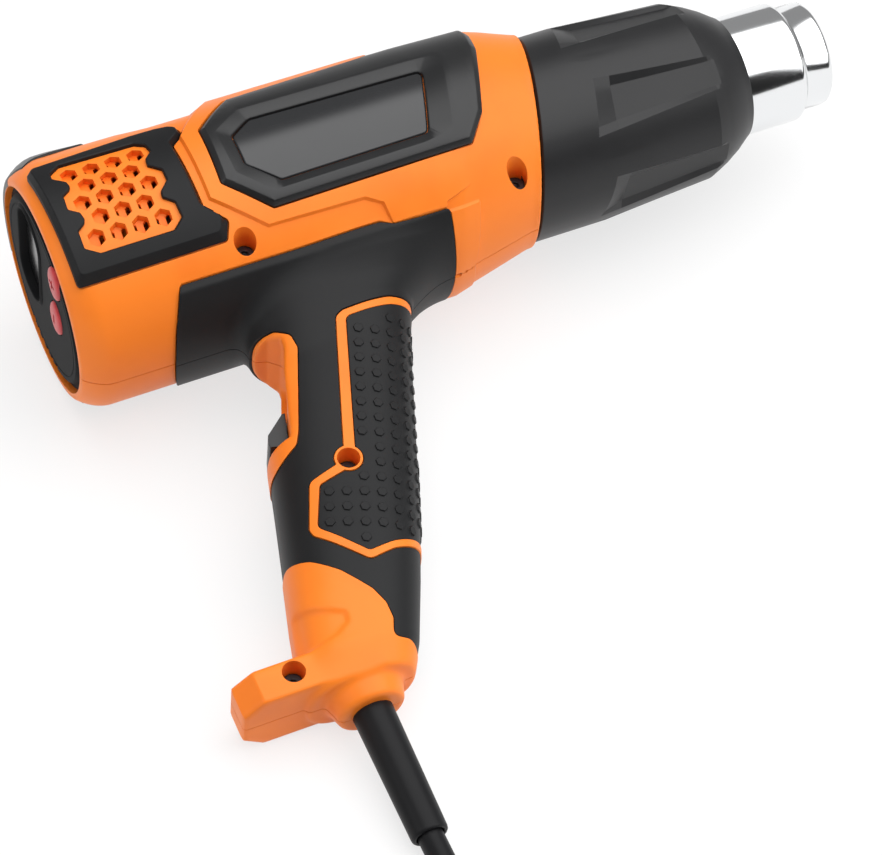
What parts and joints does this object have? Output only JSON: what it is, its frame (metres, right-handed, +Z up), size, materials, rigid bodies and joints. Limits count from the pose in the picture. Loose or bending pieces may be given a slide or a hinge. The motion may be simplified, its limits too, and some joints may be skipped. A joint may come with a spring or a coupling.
{
  "type": "hot air tool",
  "caption": "Pistol-shaped hot air gun lying on its side: orange two-part housing, soft black grip, fluted front sleeve, stepped steel nozzle, thumb switch, rear display and coiled cord.",
  "frame": {"origin": "on the floor, at the middle of the footprint of the tool lying on its left side; the free cord, its coil and the plug aren't counted", "axes": "+X along the barrel towards the nozzle, +Y from the handle's end towards the top of the tool, along the floor, +Z up"},
  "size_m": [0.3655, 0.3932, 0.0846],
  "materials": {
    "housing": "fine moulded grain, satin",
    "soft_grip": "soft matt",
    "black_trim": "satin",
    "gloss_plate": "glossy",
    "button": "satin",
    "sleeve": "satin, heat resistant",
    "bright_steel": "bright, drawn tube",
    "steel": "plain",
    "dark_steel": "black oxide",
    "mica": "rolled sheet",
    "ceramic": "unglazed",
    "board": "solder mask",
    "nylon": "satin",
    "lead_red": "insulation",
    "lead_blue": "insulation",
    "cord_rubber": "smooth matt sheath",
    "plug_brass": "plain"
  },
  "bodies": {
    "housing": {"housing_right": "housing", "housing_left": "housing", "overmould_right": "soft_grip", "overmould_left": "soft_grip", "textured_grip_right": "soft_grip", "textured_grip_left": "soft_grip", "side_panel_right": "black_trim", "side_panel_left": "black_trim", "panel_window_right": "gloss_plate", "panel_window_left": "gloss_plate", "vent_frame_right": "black_trim", "vent_frame_left": "black_trim", "vent_grille_right": "housing", "vent_grille_left": "housing", "crown_trim": "black_trim", "rear_cover": "black_trim", "display_window": "gloss_plate", "display_module": "nylon", "control_board": "board", "board_screw_upper": "steel", "board_screw_lower": "steel", "motor_can": "steel", "motor_mount": "nylon", "motor_screw_upper": "steel", "motor_screw_lower": "steel", "air_guide": "nylon", "heat_sleeve": "sleeve", "nozzle": "bright_steel", "heater_flange": "steel", "mica_tube": "mica", "heater_core": "ceramic", "heating_coil": "steel", "thermal_cutoff": "nylon", "switch_body": "black_trim", "cord_guard": "cord_rubber", "cord_tail": "cord_rubber", "cord_clamp": "nylon", "clamp_screw_front": "steel", "clamp_screw_rear": "steel", "screw_rear": "dark_steel", "screw_front": "dark_steel", "screw_handle": "dark_steel", "screw_foot": "dark_steel", "lead_live": "lead_red", "lead_neutral": "lead_blue", "lead_motor": "lead_red", "lead_board": "lead_blue", "lead_heater": "lead_red", "cord_free": "cord_rubber", "cord_coil": "cord_rubber", "plug_body": "cord_rubber", "plug_pin_a": "plug_brass", "plug_pin_b": "plug_brass"},
    "upper_button": {"button_up": "button"},
    "lower_button": {"button_down": "button"},
    "switch": {"switch_slider": "black_trim"},
    "rotor": {"motor_shaft": "steel", "fan_impeller": "nylon"}
  },
  "joints": [
    {"name": "upper_button_press", "type": "slide", "parent": "housing", "child": "upper_button", "axis": [1, 0, 0], "range_m": [0, 0.0009], "stiffness_N_per_m": 1200, "springref_m": -0.0004},
    {"name": "lower_button_press", "type": "slide", "parent": "housing", "child": "lower_button", "axis": [1, 0, 0], "range_m": [0, 0.0009], "stiffness_N_per_m": 1200, "springref_m": -0.0004},
    {"name": "switch_slide", "type": "slide", "parent": "housing", "child": "switch", "axis": [0.2665, 0.9502, 0.1618], "range_m": [0, 0.009]},
    {"name": "rotor_spin", "type": "hinge", "parent": "housing", "child": "rotor", "pos_m": [-0.0435, 0.0858, 0.0423], "axis": [1, 0, 0], "continuous": true}
  ]
}
